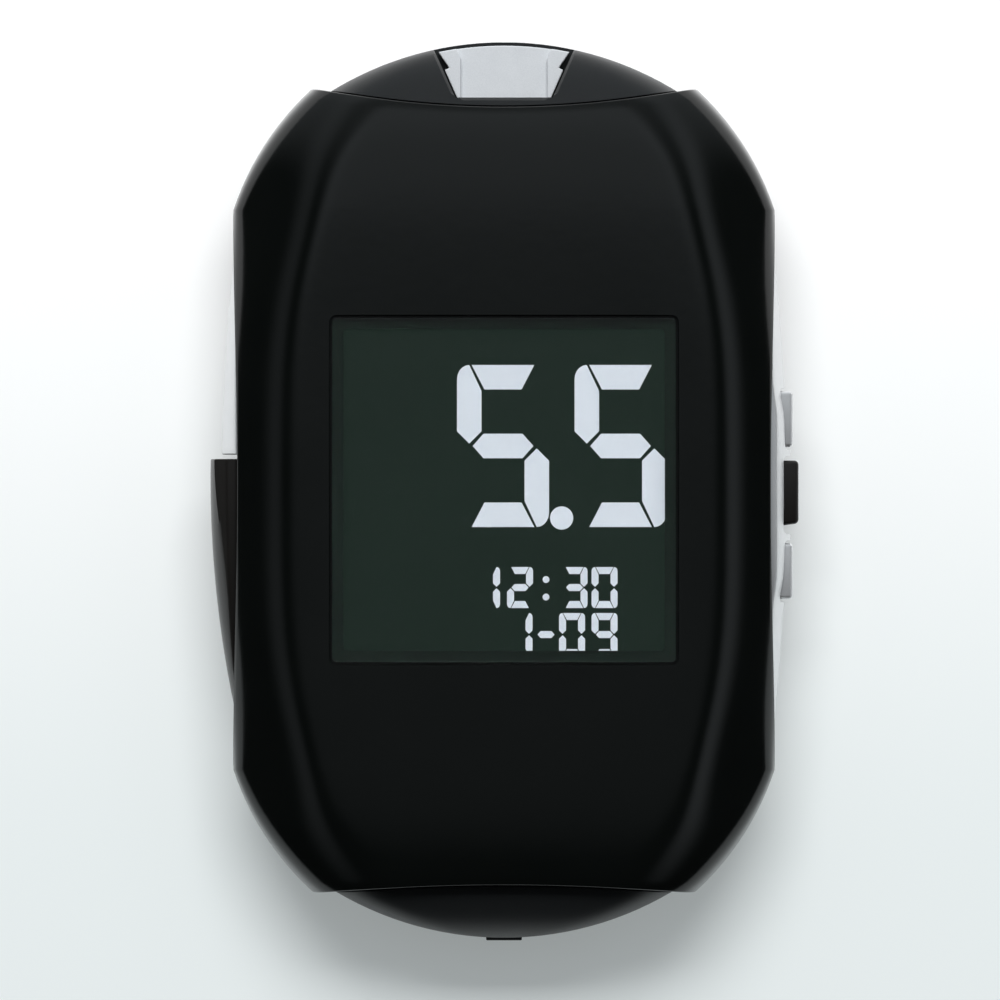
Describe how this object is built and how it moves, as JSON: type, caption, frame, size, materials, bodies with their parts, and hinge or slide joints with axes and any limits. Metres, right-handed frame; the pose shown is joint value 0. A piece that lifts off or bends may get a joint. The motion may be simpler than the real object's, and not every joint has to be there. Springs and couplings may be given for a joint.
{
  "type": "blood glucose meter",
  "caption": "Handheld blood glucose meter: pebble case with square display, strip port in its end, side keys, strip-eject lever and hinged battery door.",
  "frame": {"origin": "on the resting plane, under the middle of the case's bounding box", "axes": "the meter lies on its back: +X is its right side (keys), +Y its strip-port end, +Z out of the display"},
  "size_m": [0.0588, 0.09, 0.0163],
  "materials": {
    "black_gloss": "moulded, glossy black",
    "dark_case": "moulded, fine texture",
    "silver_paint": "metallic silver paint",
    "port_white": "fine grained, silver white",
    "key_black": "satin black",
    "window_clear": "clear, hard coated",
    "display_glass": "dark display glass",
    "guide_clear": "clear moulded",
    "seal_rubber": "soft black",
    "frame_white": "moulded white",
    "board_green": "solder mask",
    "chip_black": "moulded package",
    "inner_white": "moulded, low friction",
    "bright_steel": "plain steel",
    "gold_contact": "gold plated spring alloy",
    "cell_steel": "nickel plated can"
  },
  "bodies": {
    "case": {"front_cover": "black_gloss", "display_window": "window_clear", "window_gasket": "seal_rubber", "display_cell": "display_glass", "light_guide": "guide_clear", "display_frame": "frame_white", "zebra_strip": "seal_rubber", "lamp_left": "inner_white", "lamp_right": "inner_white", "main_board": "board_green", "controller_chip": "chip_black", "memory_chip": "chip_black", "buzzer": "chip_black", "strip_connector": "inner_white", "strip_contact_1": "gold_contact", "strip_contact_2": "gold_contact", "strip_contact_3": "gold_contact", "strip_contact_4": "gold_contact", "strip_tray": "port_white", "rear_cover": "dark_case", "left_side_trim": "silver_paint", "right_side_trim": "silver_paint", "enter_switch": "chip_black", "up_switch": "chip_black", "down_switch": "chip_black", "lever_pin": "bright_steel", "crank_spring": "bright_steel", "battery_left": "cell_steel", "battery_right": "cell_steel", "minus_contact_left": "gold_contact", "minus_contact_right": "gold_contact", "plus_contact_left": "gold_contact", "plus_contact_right": "gold_contact", "screw_top_left": "bright_steel", "screw_top_right": "bright_steel", "screw_low_left": "bright_steel", "screw_low_right": "bright_steel"},
    "lever": {"eject_lever": "key_black"},
    "crank": {"eject_crank": "inner_white"},
    "pusher": {"strip_pusher": "inner_white"},
    "enter": {"enter_key": "key_black", "enter_plunger": "inner_white"},
    "up": {"up_key": "silver_paint", "up_plunger": "inner_white"},
    "down": {"down_key": "silver_paint", "down_plunger": "inner_white"},
    "door": {"battery_door": "dark_case"}
  },
  "joints": [
    {"name": "lever_hinge", "type": "hinge", "parent": "case", "child": "lever", "pos_m": [-0.02441, -0.0232, 0.008], "axis": [0, 0, -1], "range_deg": [0, 2.8], "stiffness_Nm_per_rad": 0.12, "deforming": ["crank_spring"]},
    {"name": "crank_hinge", "type": "hinge", "parent": "case", "child": "crank", "pos_m": [-0.0213, 0.0075, 0.0106], "axis": [0, 0, 1], "range_deg": [0, 12]},
    {"name": "pusher_slide", "type": "slide", "parent": "case", "child": "pusher", "axis": [0, 1, 0], "range_m": [0, 0.0043]},
    {"name": "enter_press", "type": "slide", "parent": "case", "child": "enter", "axis": [-1, 0, 0], "range_m": [0, 0.0005], "stiffness_N_per_m": 400},
    {"name": "up_press", "type": "slide", "parent": "case", "child": "up", "axis": [-1, 0, 0], "range_m": [0, 0.0005], "stiffness_N_per_m": 400},
    {"name": "down_press", "type": "slide", "parent": "case", "child": "down", "axis": [-1, 0, 0], "range_m": [0, 0.0005], "stiffness_N_per_m": 400},
    {"name": "battery_door_hinge", "type": "hinge", "parent": "case", "child": "door", "pos_m": [0, -0.0136, 0], "axis": [1, 0, 0], "range_deg": [0, 60]}
  ],
  "couplings": [
    {"joint": "crank_hinge", "follows": "lever_hinge", "ratio": 4.117},
    {"joint": "pusher_slide", "follows": "lever_hinge", "m_per_rad": 0.0811}
  ]
}
